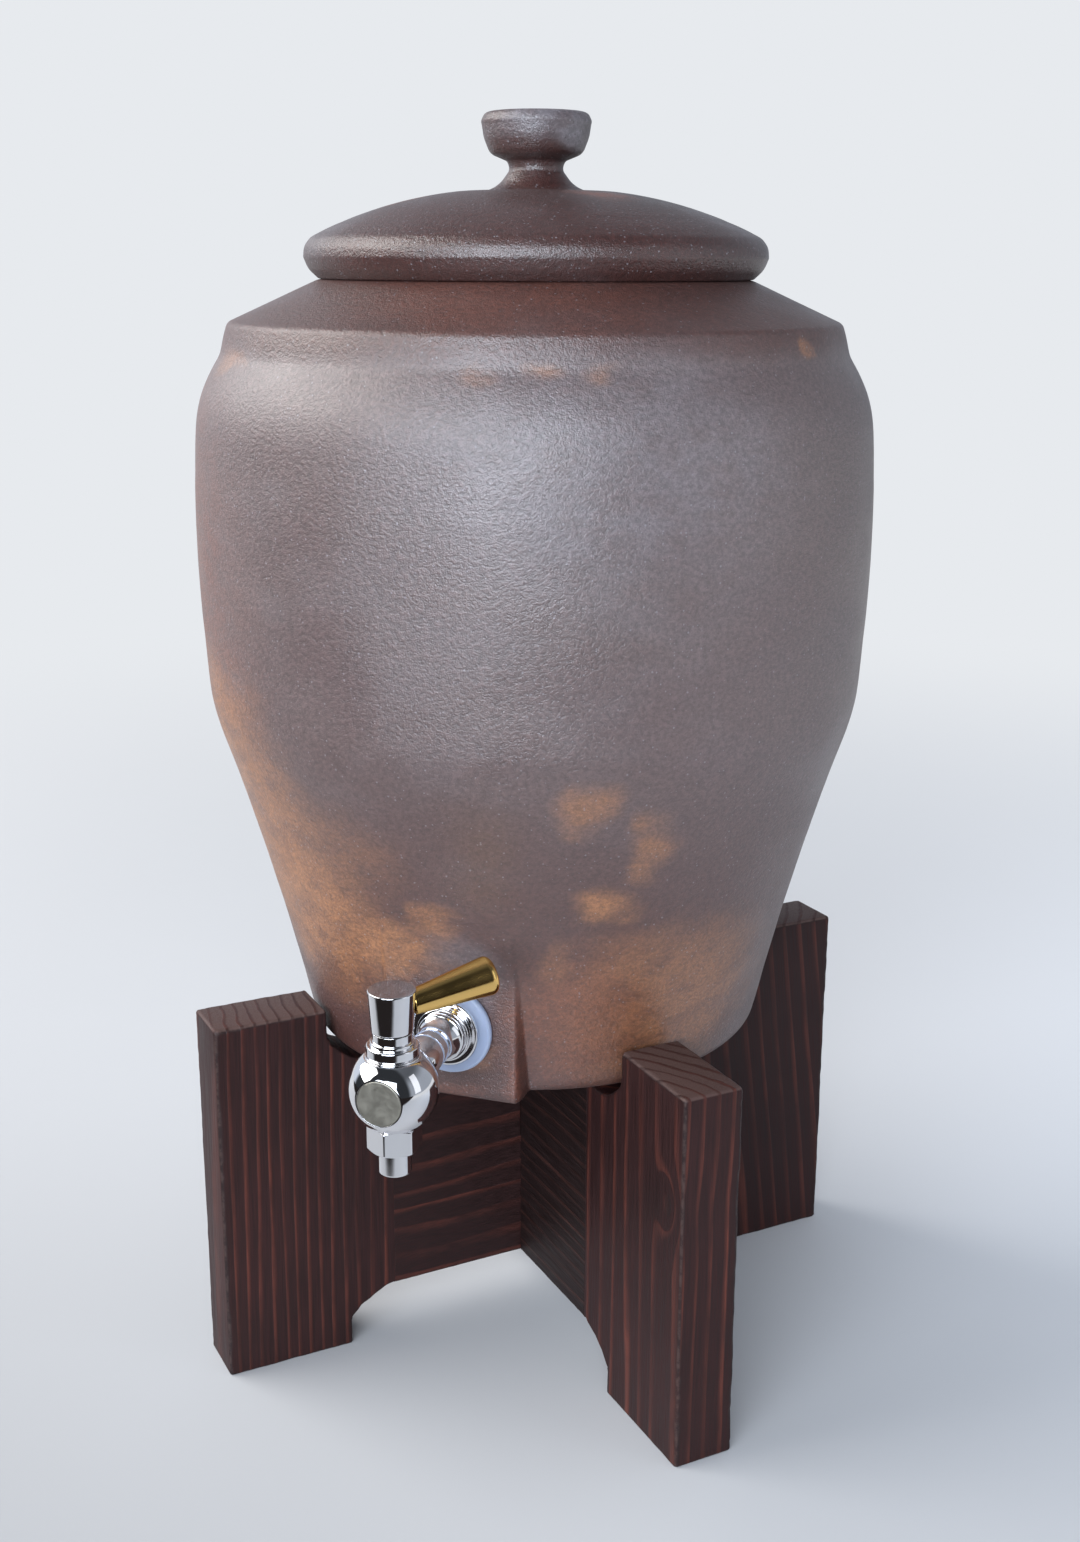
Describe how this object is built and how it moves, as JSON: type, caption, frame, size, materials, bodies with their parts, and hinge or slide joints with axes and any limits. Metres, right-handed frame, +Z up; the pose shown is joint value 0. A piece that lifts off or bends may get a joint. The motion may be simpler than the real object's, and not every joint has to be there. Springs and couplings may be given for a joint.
{
  "type": "water pot with tap",
  "caption": "Lidded stoneware water pot with a lever tap, resting in a halved wooden cross stand.",
  "frame": {"origin": "on the pot's axis at floor level, midway between the stand's four feet", "axes": "+Z up, -Y the way the tap points, the stand's boards along the two diagonals"},
  "size_m": [0.265, 0.3009, 0.4943],
  "materials": {
    "stoneware": "unglazed wood-fired stoneware with a satin ash sheen and tan flame marks",
    "lid_stoneware": "unglazed wood-fired stoneware, redder than the pot",
    "stained_wood": "dark red-brown stained softwood, satin",
    "dowel_wood": "plain turned dowel",
    "chrome": "polished",
    "satin_steel": "satin",
    "gold": "polished gold colour",
    "silicone": "milky translucent silicone",
    "black_rubber": "matt"
  },
  "bodies": {
    "stand": {"rail_lower": "stained_wood", "rail_upper": "stained_wood", "leg_front_left": "stained_wood", "leg_front_right": "stained_wood", "leg_rear_right": "stained_wood", "leg_rear_left": "stained_wood", "dowels_lower_rail": "dowel_wood", "dowels_upper_rail": "dowel_wood"},
    "pot": {"pot_body": "stoneware", "shank": "chrome", "outer_washer": "silicone", "inner_washer": "silicone", "back_nut": "satin_steel", "tap_body": "chrome", "front_disc": "satin_steel", "bonnet": "chrome", "outlet_seal": "black_rubber", "nozzle": "chrome", "outlet_nut": "chrome"},
    "lid": {"lid": "lid_stoneware"},
    "handle": {"valve_plug": "satin_steel", "o_rings": "black_rubber", "handle_cap": "chrome", "lever": "gold"}
  },
  "joints": [
    {"name": "pot_lift", "type": "slide", "parent": "stand", "child": "pot", "axis": [0, 0, 1], "range_m": [0, 0.15]},
    {"name": "lid_lift", "type": "slide", "parent": "pot", "child": "lid", "axis": [0, 0, 1], "range_m": [0, 0.12]},
    {"name": "tap_turn", "type": "hinge", "parent": "pot", "child": "handle", "pos_m": [0, -0.155, 0.1635], "axis": [0, 0, 1], "range_deg": [-90, 0]}
  ]
}
